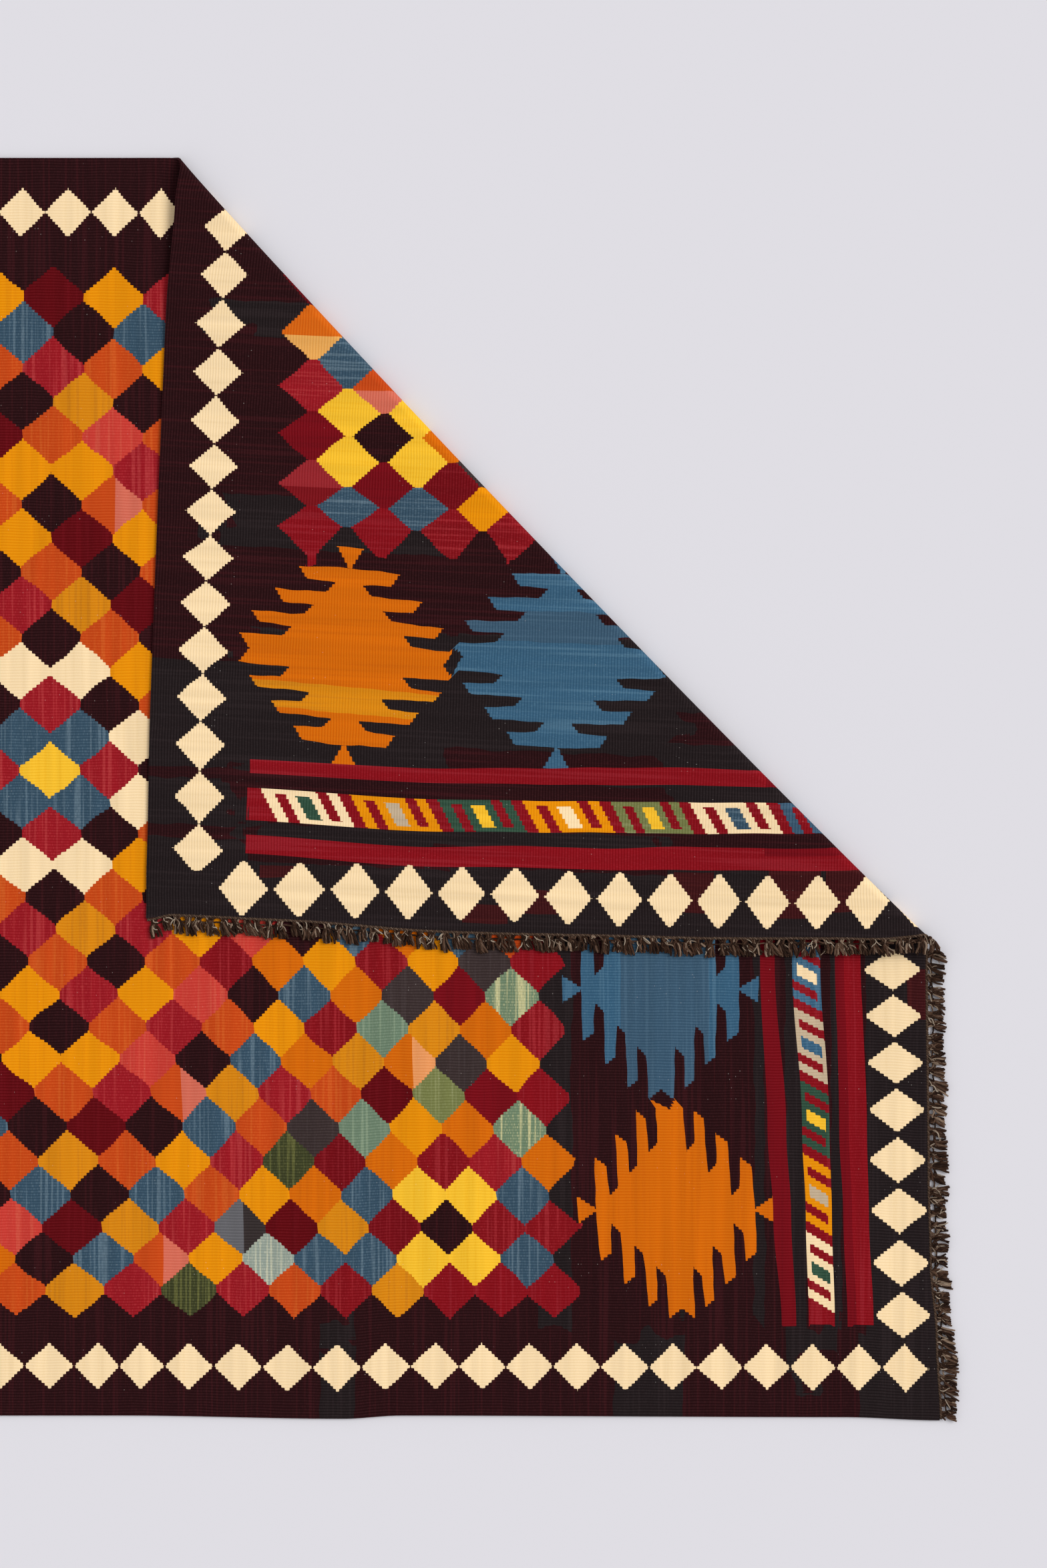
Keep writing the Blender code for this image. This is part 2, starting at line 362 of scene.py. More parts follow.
BLACKISH = (  # from this row on towards the near side, reaches where blue-black starts and stops
    (-18.5, (0.771, 0.904, 0.917, 0.972, 0.989, 1.100)),
    (-16.4, (0.328, 0.372, 0.564, 0.628, 0.771, 0.904, 0.917, 0.972, 0.989, 1.100)),
    (-15.4, (0.328, 0.372, 0.564, 0.628, 0.730, 0.895, 0.970, 0.992, 1.016, 1.100)),
    (-10.0, (0.300, 0.330, 0.722, 0.865, 0.893, 0.905, 0.966, 0.985, 1.012, 1.100)),
    (-3.0, (0.766, 0.811, 0.848, 0.922, 1.000, 1.100)),
    (5.0, (0.595, 0.637, 0.860, 0.8725, 0.902, 0.927, 0.956, 0.968, 1.000, 1.100)),
    (17.2, (0.330, 0.372, 0.690, 0.776, 0.900, 0.966, 0.990, 1.100)),
    (18.4, (0.330, 0.372, 0.690, 0.776, 0.990, 1.100)),
)
HALF_LENGTH = 1.1
MAROON_PATCHES = (  # where blue-black ran short: y from and to, place across the end diamonds from and to
    (0.591, 0.642, -0.029, -0.014),
    (0.335, 0.391, 0.013, 0.036),
    (0.274, 0.314, -0.007, 0.022),
    (0.084, 0.133, -0.036, 0.015),
    (-0.046, 0.017, -0.041, 0.020),
    (-0.108, -0.052, -0.041, 0.012),
    (-0.284, -0.222, 0.017, 0.050),
)

# Weave. The wanders say how far the weaver's hand strayed from the plan.
RIBS = 443
RIB_PITCH = 0.0035
BEAD_PITCH = 0.0014  # two passes of the weft, which show as one bead on a rib
RIB_HEIGHT = 0.0007
RIB_WANDER = 0.9  # ribs
GROOVE, CREST = 0.25, 1.2  # heights of the yarn between which painted shade deepens its colour towards the grooves and a faint painted sheen pales the crests
COLUMN_WANDER, ROW_WANDER, BORDER_WANDER = 0.24, 0.22, 0.10  # cartoon columns and rows
REACH_WANDER, END_WANDER = 0.012, 0.005  # metres
ZONE_WANDER = 4.0  # rows, where patches of the ground change
COUNT_WANDER = 0.14  # diamonds


def linear(colour):
    """Linear red, green and blue of an sRGB hex value."""
    parts = [int(colour[i:i + 2], 16) / 255 for i in (1, 3, 5)]
    return tuple(part / 12.92 if part <= 0.04045 else ((part + 0.055) / 1.055) ** 2.4 for part in parts)


def read_table(table, place, column=1, eased=True):
    """Value between two rows of a table, eased so that an edge has no kink."""
    i = min(max(bisect_right([row[0] for row in table], place), 1), len(table) - 1)
    low, high = table[i - 1], table[i]
    t = min(max((place - low[0]) / (high[0] - low[0]), 0.0), 1.0)
    if eased:
        t *= t * (3 - 2 * t)
    return low[column] + (high[column] - low[column]) * t


# ---------------------------------------------------------------- folding

def fold_section(used):
    """Reach, height and turn of the cloth's middle at a distance into the fold."""
    rise = ROLL_RADIUS * (1 + math.cos(SETTLE_SLOPE))
    ease = SETTLE_RADIUS * (1 - math.cos(SETTLE_SLOPE))
    run = (rise - ease - THICKNESS - LAYER_GAP) / math.sin(SETTLE_SLOPE)
    turn = min(max(used / ROLL_RADIUS, 0.0), math.pi + SETTLE_SLOPE)
    reach = ROLL_RADIUS * math.sin(turn) + min(used, 0.0)
    height = THICKNESS / 2 + ROLL_RADIUS * (1 - math.cos(turn))
    used -= ROLL_RADIUS * (math.pi + SETTLE_SLOPE)
    if used > 0:
        slope = min(used, run)
        settled = min(max((used - run) / SETTLE_RADIUS, 0.0), SETTLE_SLOPE)
        turn -= settled
        left = SETTLE_SLOPE - settled
        flat = max(used - run - SETTLE_RADIUS * SETTLE_SLOPE, 0.0)
        reach -= slope * math.cos(SETTLE_SLOPE) + flat
        reach -= SETTLE_RADIUS * (math.sin(SETTLE_SLOPE) - math.sin(left))
        height -= slope * math.sin(SETTLE_SLOPE)
        height -= SETTLE_RADIUS * (math.cos(left) - math.cos(SETTLE_SLOPE))
    return reach, height, turn


def bow(along, used, out):
    """How far the bowed fold shifts a point inwards."""
    share = along / FOLD_LENGTH
    if not 0 < share < 1:
        return 0.0
    arch = FOLD_BOW * math.sin(math.pi * share) ** BOW_BLUNTNESS
    if used <= 0:
        return arch * math.exp(used / BASE_BOW_REACH)
    t = min(max(-out / FLAP_BOW_REACH, 0.0), 1.0)
    return arch * (1 - 0.5 * t * t * (3 - 2 * t))


CLOTH_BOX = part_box("kilim_cloth")
SHIFT = Vector((CLOTH_BOX[0][0] - LEFT_END[0][1], CLOTH_BOX[0][1] - NEAR_SELVEDGE[-1][1]))
LIFT = 0.0016  # how far the cloth's slack lifts it off the floor
LIFT_LENGTH = 0.22


def folded(point):
    """Place in the room of a point of the flat cloth, once the corner is turned over."""
    offset = point.xy - FOLD_FROM
    used = offset.dot(FOLD_OUT) + OUTER_RADIUS
    reach, height, turn = fold_section(used)
    above = point.z - THICKNESS / 2
    out = reach - above * math.sin(turn) - OUTER_RADIUS
    along = offset.dot(FOLD_ALONG)
    place = FOLD_FROM + FOLD_ALONG * along + FOLD_OUT * (out - bow(along, used, out)) + SHIFT
    slack = 0.5 + noise.noise((place.x / LIFT_LENGTH, place.y / LIFT_LENGTH, 0.0))
    return Vector((place.x, place.y, height + above * math.cos(turn) + LIFT * min(max(slack, 0.0), 1.0)))


# ---------------------------------------------------------------- cloth

def middle_distance(column, y):
    """Distance of a cartoon column from the middle line, before the end's own tables start."""
    t = min(max((y - SPREAD_FROM) / (SPREAD_TO - SPREAD_FROM), 0.0), 1.0)
    near, far = (read_table(COLUMNS, column, i, eased=False) for i in (1, 2))
    return near + (far - near) * t * t * (3 - 2 * t)


def column_place(column, y):
    """x of a cartoon column at this y."""
    side = -1 if column < 0 else 1
    column = abs(column)
    if column <= COLUMNS[-1][0]:
        return read_table(MIDDLE_LINE, y) + side * middle_distance(column, y)
    start = math.floor(column)
    ends = []
    for edge in (start, start + 1):
        if edge < STRIPE_COLUMN:
            ends.append(side * read_table(MIDDLE_LINE, y) + middle_distance(edge, y))
        elif edge <= DIAMOND_COLUMN:
            ends.append(read_table(END_STRIPES, y, edge - STRIPE_COLUMN + 1))
        else:
            ends.append(abs(read_table(RIGHT_END if side > 0 else LEFT_END, y)))
    return side * (ends[0] + (ends[1] - ends[0]) * (column - start))


def row_place(row, column, x):
    """y of a cartoon row at this column and x."""
    outwards = min(abs(column) / COLUMNS[-1][0], 1.0)
    held = min(max(row, FIELD_FAR_ROW), FIELD_NEAR_ROW)
    middle, side = (read_table(ROWS, held, i, eased=False) for i in (1, 2))
    y = middle + (side - middle) * outwards
    if row > FIELD_NEAR_ROW:
        y += (read_table(NEAR_SELVEDGE, x) - y) * (row - FIELD_NEAR_ROW) / (NEAR_ROW - FIELD_NEAR_ROW)
    if row < FIELD_FAR_ROW:
        y += (read_table(FAR_SELVEDGE, x) - y) * (FIELD_FAR_ROW - row) / (FIELD_FAR_ROW - FAR_ROW)
    return y


def cartoon_point(column, row):
    """Point of the flat cloth where a cartoon column and row cross."""
    y = row_place(row, column, column_place(column, 0.0))
    x = column_place(column, y)
    return Vector((x, row_place(row, column, x), 0.0))


def cartoon_columns():
    """Columns of the cloth's grid, closer together where stripes meet."""
    half = []
    for (start, steps), stop in zip(COLUMN_STEPS, [row[0] for row in COLUMN_STEPS[1:]] + [LAST_COLUMN]):
        half += [start + (stop - start) * step / steps for step in range(steps)]
    half.append(LAST_COLUMN)
    return [-column for column in reversed(half[1:])] + half


def note_weave(bm):
    """Notes on each point of the flat cloth where it lies in the weaver's plan, for the material."""
    cartoon = bm.verts.layers.float_vector["cartoon"]
    new_note = bm.verts.layers.float_vector.new
    cloth, border, figures = (new_note(name) for name in ("cloth", "border", "figures"))
    for vert in bm.verts:
        x, y = vert.co.xy
        row = vert[cartoon].y
        near, far = read_table(NEAR_SELVEDGE, x), read_table(FAR_SELVEDGE, x)
        vert[cloth] = (x, y, (y - near) / (far - near) * RIBS)
        along = read_table(NEAR_DIAMONDS if row > 0 else FAR_DIAMONDS, x, eased=False)
        ends = read_table(END_DIAMONDS, y, eased=False)
        vert[border] = (along, ends, abs(x) - read_table(END_STRIPES, y, DIAMOND_COLUMN - STRIPE_COLUMN + 1))
        count = read_table([(row[0], i) for i, row in enumerate(MEDALLIONS)], y, eased=False)
        count += (y - MEDALLIONS[-1][0]) / MEDALLION_PITCH if y > MEDALLIONS[-1][0] else 0.0
        count += (y - MEDALLIONS[0][0]) / MEDALLION_PITCH if y < MEDALLIONS[0][0] else 0.0
        middle_y, middle_x, length, _, lean = MEDALLIONS[min(max(round(count), 0), len(MEDALLIONS) - 1)][:5]
        across = (abs(x) - middle_x + lean * (y - middle_y)) / length
        vert[figures] = (count, across, read_table(GUARD_FIGURES, y, eased=False))


def weave_cloth(material):
    """The cloth in one piece: woven flat along the cartoon, thickened, then folded."""
    columns = cartoon_columns()
    rows = (NEAR_ROW - FAR_ROW) * ROW_STEPS
    bm = bmesh.new()
    bmesh.ops.create_grid(bm, x_segments=len(columns) - 1, y_segments=rows, size=0.5)
    cartoon = bm.verts.layers.float_vector.new("cartoon")
    for vert in bm.verts:
        column = columns[round((vert.co.x + 0.5) * (len(columns) - 1))]
        row = NEAR_ROW - (vert.co.y + 0.5) * (NEAR_ROW - FAR_ROW)
        vert.co = cartoon_point(column, row)
        vert[cartoon] = (column, row, abs(vert.co.x))
    roll_end = ROLL_RADIUS * (math.pi + SETTLE_SLOPE)
    creases = [roll_end * step / 20 for step in range(21)] + [roll_end + 0.012, roll_end + 0.03]
    for used in creases:
        crease = FOLD_FROM + FOLD_OUT * (used - OUTER_RADIUS)
        whole = bm.verts[:] + bm.edges[:] + bm.faces[:]
        bmesh.ops.bisect_plane(bm, geom=whole, dist=1e-5, plane_co=(*crease, 0.0), plane_no=(*FOLD_OUT, 0.0))
    note_weave(bm)
    grown = bmesh.ops.extrude_face_region(bm, geom=bm.faces[:])["geom"]
    for vert in (item for item in grown if isinstance(item, bmesh.types.BMVert)):
        vert.co.z = THICKNESS
    bmesh.ops.recalc_face_normals(bm, faces=bm.faces)
    for vert in bm.verts:
        vert.co = folded(vert.co)
    mesh = bpy.data.meshes.new("woven_cloth")
    bm.to_mesh(mesh)
    bm.free()
    mesh.set_sharp_from_angle(angle=math.radians(50))
    mesh.materials.append(material)
    return add_piece("woven_cloth", mesh, "tapestry_wool", "kilim_cloth")


def add_piece(name, mesh, slot, *nodes):
    """Makes a finished piece of a mesh, which rides on the rug and stands for its CAD nodes."""
    mesh.shade_smooth()
    piece = bpy.data.objects.new(name, mesh)
    bpy.context.scene.collection.objects.link(piece)
    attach(piece, "root")
    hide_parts(*nodes)
    return piece


# ---------------------------------------------------------------- wool

def add_node(tree, kind, *links, out=0, stops=None, **settings):
    """Adds a shader node, or a Math node by its operation, and returns one of its outputs.

    Links fill the inputs in order, as sockets or plain values. Stops fill a ramp: place, colour and alpha.
    """
    is_math = kind.isupper()
    node = tree.nodes.new("ShaderNodeMath" if is_math else "ShaderNode" + kind)
    if is_math:
        node.operation = kind
    for name, value in settings.items():
        setattr(node, name, value)
    if stops:
        elements = node.color_ramp.elements
        node.color_ramp.interpolation = "CONSTANT"
        while len(elements) < len(stops):
            elements.new(1.0)
        for element, (place, colour, alpha) in zip(elements, stops):
            element.position = place
            element.color = (*colour, alpha)
    for socket, link in zip([socket for socket in node.inputs if socket.enabled], links):
        if isinstance(link, bpy.types.NodeSocket):
            tree.links.new(link, socket)
        elif link is not None:
            socket.default_value = link
    return [socket for socket in node.outputs if socket.enabled][out]


BLANK = (0, 0, 0)  # colour of a ramp's stops where only their alpha is read


def dye_number(letter):
    return (list(DYES).index(letter) + 0.5) / PALETTE_SIZE


def lozenge_dye(column, row):
    """Letter of a lozenge's dye: rings round the middle, and the weaver's changes."""
    for (first, at_row), dyes in WEAVERS_CHANGES.items():
        step = (abs(column) - abs(first)) // 2
        if at_row == row and 0 <= step < len(dyes) and (column >= 0) == (first >= 0):
            return dyes[step]
    ring = (abs(column) + abs(row)) // 2
    if ring in OUTER_RINGS:
        first = 2 * ring - FIELD_NEAR_ROW
        return OUTER_RINGS[ring][abs(column) - first]
    rings = RINGS_RIGHT if column >= 0 else RINGS_LEFT
    return rings[ring][column % 2]


def place_on_plan(node):
    """Sockets for a point's place in the plan, taken mid-rib so that slanted edges are stepped."""
    part = {}
    for name in ("cloth", "cartoon", "border", "figures"):
        split = node("Attribute", attribute_name=name, out=1)
        part[name] = [node("SeparateXYZ", split, out=i) for i in range(3)]
    along, across, ribs = part["cloth"]
    flat = node("CombineXYZ", along, across, 0.0)
    ribs = node("MULTIPLY_ADD", node("TexNoise", flat, 22.0, 1.0), RIB_WANDER, ribs)
    rib = node("FLOOR", ribs)
    off_middle = node("MULTIPLY_ADD", node("FRACT", ribs), 2.0, -1.0)
    rounded = node("MULTIPLY", off_middle, node("POWER", node("ABSOLUTE", off_middle), 9.0))
    shift = node("MULTIPLY", node("SUBTRACT", rounded, off_middle), RIB_PITCH / 2)
    spot = node("CombineXYZ", along, node("ADD", across, shift), 0.0)
    wander = node("TexNoise", spot, 24.0, 1.5, 0.6, out=1)
    wander = node("VectorMath", wander, (0.5, 0.5, 0.5), operation="SUBTRACT")
    wander = [node("SeparateXYZ", wander, out=i) for i in range(3)]
    column, row, reach = part["cartoon"]
    down = node("MULTIPLY", shift, -1 / ROW_HEIGHT)
    return SimpleNamespace(
        along=along,
        rib=rib,
        off_middle=off_middle,
        column=node("MULTIPLY_ADD", wander[0], COLUMN_WANDER, column),
        row=node("MULTIPLY_ADD", wander[1], ROW_WANDER, node("ADD", row, down)),
        border_row=node("MULTIPLY_ADD", wander[1], BORDER_WANDER, node("ADD", row, down)),
        true_column=column,
        across=across,
        reach=node("MULTIPLY_ADD", wander[0], REACH_WANDER, reach),
        zone=node("MULTIPLY_ADD", wander[2], ZONE_WANDER, row),
        stripe=node("ABSOLUTE", column),
        long_count=node("MULTIPLY_ADD", wander[0], COUNT_WANDER, part["border"][0]),
        end_count=node("MULTIPLY_ADD", shift, 1 / END_PITCH, part["border"][1]),
        end_reach=node("MULTIPLY_ADD", wander[0], END_WANDER, part["border"][2]),
        medallion=node("MULTIPLY_ADD", shift, 1 / MEDALLION_PITCH, part["figures"][0]),
        in_panel=node("MULTIPLY_ADD", wander[0], END_WANDER, part["figures"][1]),
        guard=node("MULTIPLY_ADD", shift, -1 / GUARD_PITCH, part["figures"][2]),
    )


def between(node, value, low, high):
    """1 where a value lies between two others."""
    return node("MULTIPLY", node("GREATER_THAN", value, low), node("LESS_THAN", value, high))


def lozenges(node, place):
    """Dye number of the field's lozenges, where they are, and each one's seed and the place across it."""
    column, row = node("PINGPONG", place.column, 1.0), node("PINGPONG", place.row, 1.0)
    climb = node("MULTIPLY_ADD", column, LOZENGE_SLOPE, row)
    odd = node("GREATER_THAN", climb, (1 + LOZENGE_SLOPE) / 2)
    column, row = (
        node("MULTIPLY_ADD", node("ROUND", node("MULTIPLY", node("SUBTRACT", spot, odd), 0.5)), 2.0, odd)
        for spot in (place.column, place.row)
    )
    width = 2 * FIELD_COLUMN + 4
    spread = node("MULTIPLY_ADD", column, 1 / width, 0.5)
    dye = 0.0
    for at_row in range(FIELD_FAR_ROW, FIELD_NEAR_ROW + 1):
        columns = [c for c in range(-FIELD_COLUMN, FIELD_COLUMN + 1) if (c - at_row) % 2 == 0]
        stops = [((c - 1) / width + 0.5, BLANK, dye_number(lozenge_dye(c, at_row))) for c in columns]
        here = node("COMPARE", row, float(at_row), 0.4)
        dye = node("MULTIPLY_ADD", here, node("ValToRGB", spread, stops=stops, out=1), dye)
    inside = node(
        "MULTIPLY",
        between(node, column, -FIELD_COLUMN - 0.5, FIELD_COLUMN + 0.5),
        between(node, row, FIELD_FAR_ROW - 0.5, FIELD_NEAR_ROW + 0.5),
    )
    seed = node("MULTIPLY_ADD", row, 3.37, node("MULTIPLY", column, 1.91))
    lean = node("MULTIPLY", node("GREATER_THAN", row, 0.0), 0.06)
    off_row, off_column = node("SUBTRACT", place.border_row, row), node("SUBTRACT", place.true_column, column)
    return dye, inside, node("MULTIPLY", seed, inside), node("MULTIPLY_ADD", off_row, lean, off_column)


def medallions(node, place):
    """Dye number of the end panels' medallions, and where they are."""
    count = node("ROUND", place.medallion)
    stops = []
    for start, stop, first, last in MEDALLION_ARMS:
        for spot, half in ((start + 0.0004, first), (stop - 0.0004, last)):
            stops.append((0.5 + spot / (2 * MEDALLION_REACH), BLANK, half / MEDALLION_WIDEST))
    across = node("MULTIPLY_ADD", place.in_panel, 0.5 / MEDALLION_REACH, 0.5)
    outline = node("ValToRGB", across, stops=stops, out=1)
    outline.node.color_ramp.interpolation = "LINEAR"
    along = node("MULTIPLY", node("ADD", count, 0.5), 1 / len(MEDALLIONS))
    body = [(i / len(MEDALLIONS), (row[3], 0.0, 0.0), dye_number(row[5])) for i, row in enumerate(MEDALLIONS)]
    body_dye = node("ValToRGB", along, stops=body, out=1)
    width = node("SeparateColor", body_dye.node.outputs[0], out=0)
    half = node("MULTIPLY", node("MULTIPLY", outline, width), MEDALLION_WIDEST / MEDALLION_PITCH)
    off = node("ABSOLUTE", node("SUBTRACT", place.medallion, count))
    inside = node("MULTIPLY", node("LESS_THAN", off, half), between(node, place.stripe, 18.5, 20.4))
    inside = node("MULTIPLY", inside, node("LESS_THAN", node("ABSOLUTE", place.in_panel), MEDALLION_TIP))
    inside = node("MULTIPLY", inside, between(node, count, -0.5, len(MEDALLIONS) - 0.5))
    band = [
        (i / len(MEDALLIONS), (0.5 + row[7], 0.5 + row[8], 0.0), dye_number(row[6]))
        for i, row in enumerate(MEDALLIONS)
    ]
    band_dye = node("ValToRGB", along, stops=band, out=1)
    limits = band_dye.node.outputs[0]
    low, high = (node("SUBTRACT", node("SeparateColor", limits, out=i), 0.5) for i in (0, 1))
    in_band = between(node, place.in_panel, low, high)
    return node("Mix", in_band, body_dye, band_dye), inside


def stripes(node, place):
    """Dye number of the red stripes and the framed guard between them, and where they are."""
    fits = between(node, place.border_row, STRIPE_FAR_ROW, STRIPE_NEAR_ROW)
    reds = node("ADD", between(node, place.stripe, 20.0, 21.0), between(node, place.stripe, 24.0, 25.0))
    across = node("SUBTRACT", place.stripe, 22.0)
    in_guard = between(node, across, 0.0, 1.0)
    slant = node("MULTIPLY_ADD", across, GUARD_SLANT, place.guard)
    number = node("FLOOR", slant)
    along = node("SUBTRACT", slant, number)
    top, bottom = node("LESS_THAN", across, GUARD_RAIL), node("GREATER_THAN", across, 1 - GUARD_RAIL)
    frame_part = 0.0
    for bar in GUARD_BARS:
        frame_part = node("ADD", frame_part, between(node, along, *bar))
    for rail, limits in ((top, TOP_RAIL), (bottom, BOTTOM_RAIL)):
        frame_part = node("ADD", frame_part, node("MULTIPLY", rail, between(node, along, *limits)))
    core = node("MULTIPLY", between(node, along, *GUARD_CORE[:2]), between(node, across, *GUARD_CORE[2:]))
    spread = node("MULTIPLY", node("ADD", number, 0.5), 1 / GUARD_COUNT)
    tables = []
    for letter in (0, 1):
        stops = [(i / GUARD_COUNT, BLANK, dye_number(pair[letter])) for i, pair in enumerate(GUARD_DYES)]
        tables.append(node("ValToRGB", spread, stops=stops, out=1))
    known = between(node, number, -0.5, len(GUARD_DYES) - 0.5)
    figure = node("MULTIPLY", node("MULTIPLY", node("MINIMUM", frame_part, 1.0), in_guard), known)
    dark_reds = node("LESS_THAN", place.stripe, DARK_RED_COLUMN)
    dark_reds = node("MULTIPLY", dark_reds, node("SUBTRACT", 1.0, in_guard))
    dark_reds = node("MULTIPLY", dark_reds, node("GREATER_THAN", place.row, 0.0))
    red = node("Mix", dark_reds, dye_number("r"), dye_number("c"))
    dye = node("Mix", figure, red, tables[0])
    dye = node("Mix", node("MULTIPLY", core, figure), dye, tables[1])
    return dye, node("MULTIPLY", fits, node("ADD", reds, in_guard))


def diamonds(node, place):
    """Where the ivory diamonds of the long and the end borders are."""
    near = node("COMPARE", place.border_row, NEAR_DIAMOND_ROW, 1.5)
    off_near = node("SUBTRACT", place.border_row, NEAR_DIAMOND_ROW)
    off_far = node("ADD", place.border_row, node("MapRange", place.along, *FAR_DIAMONDS_SHIFT))
    off_row = node("Mix", near, off_far, off_near)
    half = node("Mix", near, node("MapRange", place.along, *FAR_DIAMONDS_TAPER), NEAR_DIAMOND_HALF)
    off_count = node("SUBTRACT", place.long_count, node("ROUND", place.long_count))
    long_shape = node("ADD", node("DIVIDE", node("ABSOLUTE", off_row), half), node(
        "DIVIDE", node("ABSOLUTE", off_count), LONG_HALF))
    long_fits = node("LESS_THAN", place.reach, node("Mix", near, FAR_BORDER_REACH, NEAR_BORDER_REACH))
    long_border = node("MULTIPLY", node("LESS_THAN", long_shape, 1.0), long_fits)
    off_end = node("SUBTRACT", place.end_count, node("ROUND", place.end_count))
    end_shape = node("ADD", node("DIVIDE", node("ABSOLUTE", off_end), END_HALF_ALONG), node(
        "DIVIDE", node("ABSOLUTE", place.end_reach), END_HALF_ACROSS))
    end_fits = node("MULTIPLY", between(node, place.end_count, -0.5, 21.5), between(
        node, place.end_reach, -END_TIP, END_TIP))
    return node("MAXIMUM", long_border, node("MULTIPLY", node("LESS_THAN", end_shape, 1.0), end_fits))


def ground(node, place):
    """Dye number of the ground: aubergine, with long patches of blue-black and small ones of maroon."""
    spread = node("MULTIPLY", place.reach, 1 / HALF_LENGTH)
    black = 0.0
    for from_row, switches in BLACKISH:
        stops = [(0.0, BLANK, 0.0)]
        stops += [(at / HALF_LENGTH, BLANK, float(i % 2 == 0)) for i, at in enumerate(switches)]
        patch = node("ValToRGB", spread, stops=stops, out=1)
        black = node("Mix", node("GREATER_THAN", place.zone, from_row), black, patch)
    maroon = 0.0
    for y_from, y_to, reach_from, reach_to in MAROON_PATCHES:
        patch = between(node, place.across, y_from, y_to)
        maroon = node("MULTIPLY_ADD", patch, between(node, place.end_reach, reach_from, reach_to), maroon)
    maroon = node("MULTIPLY", maroon, node("GREATER_THAN", place.true_column, 0.0))
    return node("Mix", maroon, node("Mix", black, dye_number("k"), dye_number("n")), dye_number("K"))


def streaks(node, place, seed):
    """Strength of the streaks: passes of the weft where the dye took unevenly, dotted from rib to rib."""
    across_ribs = node("MULTIPLY_ADD", place.rib, 0.016, seed)
    passes, broad, dots = (
        node("TexNoise", node("CombineXYZ", node("MULTIPLY", place.along, finer), across, depth), 1.0, 0.0)
        for finer, across, depth in (
            (290.0, across_ribs, 0.0),
            (70.0, across_ribs, 5.0),
            (500.0, place.rib, seed),
        )
    )
    mixed = node("MULTIPLY_ADD", passes, 0.68, node("MULTIPLY", broad, 0.32))
    lines = node("MapRange", mixed, 0.51, 0.64, 0.0, 1.0, interpolation_type="SMOOTHSTEP")
    return node("MULTIPLY", lines, node("MapRange", dots, 0.3, 0.7, 0.55, 1.0))


def tapestry_wool():
    """Hand-spun wool in weft-faced tapestry: matt, its dyed pattern on round ribs along the hidden warps,
    with painted shade in the grooves between the ribs and a faint painted sheen on their crests.
    """
    material = bpy.data.materials.new("dyed tapestry wool")
    material.use_nodes = True
    tree = material.node_tree
    node = partial(add_node, tree)
    place = place_on_plan(node)

    dye = ground(node, place)
    field, in_field, seed, side = lozenges(node, place)
    dye = node("Mix", in_field, dye, field)
    for shape in (medallions, stripes):
        shape_dye, inside = shape(node, place)
        dye = node("Mix", inside, dye, shape_dye)
    dye = node("Mix", diamonds(node, place), dye, dye_number("i"))

    mains = [(i / PALETTE_SIZE, linear(row[0]), row[2]) for i, row in enumerate(DYES.values())]
    seconds = [(i / PALETTE_SIZE, linear(row[1]), 1.0) for i, row in enumerate(DYES.values())]
    strength = node("ValToRGB", dye, stops=mains, out=1)
    main = strength.node.outputs[0]
    second = node("ValToRGB", dye, stops=seconds)
    two_balls = node("GREATER_THAN", strength, 0.95)
    along_yarn = node("MULTIPLY", place.along, 620.0)
    yarn_place = node("CombineXYZ", along_yarn, node("MULTIPLY", place.rib, 3.3), 0.0)
    yarn = node("TexNoise", yarn_place, 1.0, 1.0)
    off_crest = node("ABSOLUTE", place.off_middle)
    rib_shape = node("SUBTRACT", 1.0, node("POWER", off_crest, 1.5))
    flecks = node("MULTIPLY", node("MapRange", yarn, 0.50, 0.68, 0.0, 0.5), rib_shape)
    streak = node("MULTIPLY", node("MAXIMUM", streaks(node, place, seed), flecks), strength)
    streak = node("Mix", two_balls, streak, node("GREATER_THAN", side, 0.1))
    colour = node("Mix", streak, main, second, data_type="RGBA")

    odd = node("FLOORED_MODULO", place.rib, 2.0)
    pass_place = node("MULTIPLY_ADD", place.along, math.tau / BEAD_PITCH, node("MULTIPLY", odd, math.pi))
    pass_height = node("MULTIPLY_ADD", node("SINE", pass_place), 0.5, 0.5)
    height = node("MULTIPLY_ADD", pass_height, 0.10, node("MULTIPLY_ADD", yarn, 0.35, rib_shape))
    # Painted shade: each colour deepens towards the grooves between the ribs.
    colour = node("Gamma", colour, node("MapRange", height, GROOVE, CREST, 1.12, 0.98))
    bands = node("CombineXYZ", node("MULTIPLY", place.along, 70.0), node("MULTIPLY", place.rib, 0.012), seed)
    abrash = node("MapRange", node("TexNoise", bands, 1.0, 1.0), 0.3, 0.7, 0.92, 1.06)
    # Real abrash bands of the dye, times painted shade: darker in the grooves, a little lighter on the
    # crests.
    abrash_and_groove_shade = node("MULTIPLY", abrash, node("MapRange", height, GROOVE, CREST, 0.95, 1.03))
    colour = node("VectorMath", colour, abrash_and_groove_shade, operation="SCALE")
    lint = node("GREATER_THAN", node("TexNoise", yarn_place, 0.9, 0.0), 0.84)
    lint = node("MULTIPLY", lint, node("LESS_THAN", off_crest, 0.35))
    # Lint specks are real pale fibres; the part that grows with rib height is a faint painted sheen on the
    # crests.
    lint_and_crest_sheen = node("MULTIPLY_ADD", lint, 0.22, node("MapRange", height, GROOVE, CREST, 0.0, 0.004))
    colour = node("Mix", lint_and_crest_sheen, colour, (*linear("#E0D8D0"), 1.0), data_type="RGBA")
    bump = node("Bump", 0.35, RIB_HEIGHT, None, height)
    shader = tree.nodes["Principled BSDF"]
    tree.links.new(colour, shader.inputs["Base Color"])
    tree.links.new(bump, shader.inputs["Normal"])
    shader.inputs["Roughness"].default_value = 0.9
    shader.inputs["Specular IOR Level"].default_value = 0.05
    return material


# ---------------------------------------------------------------- fringe

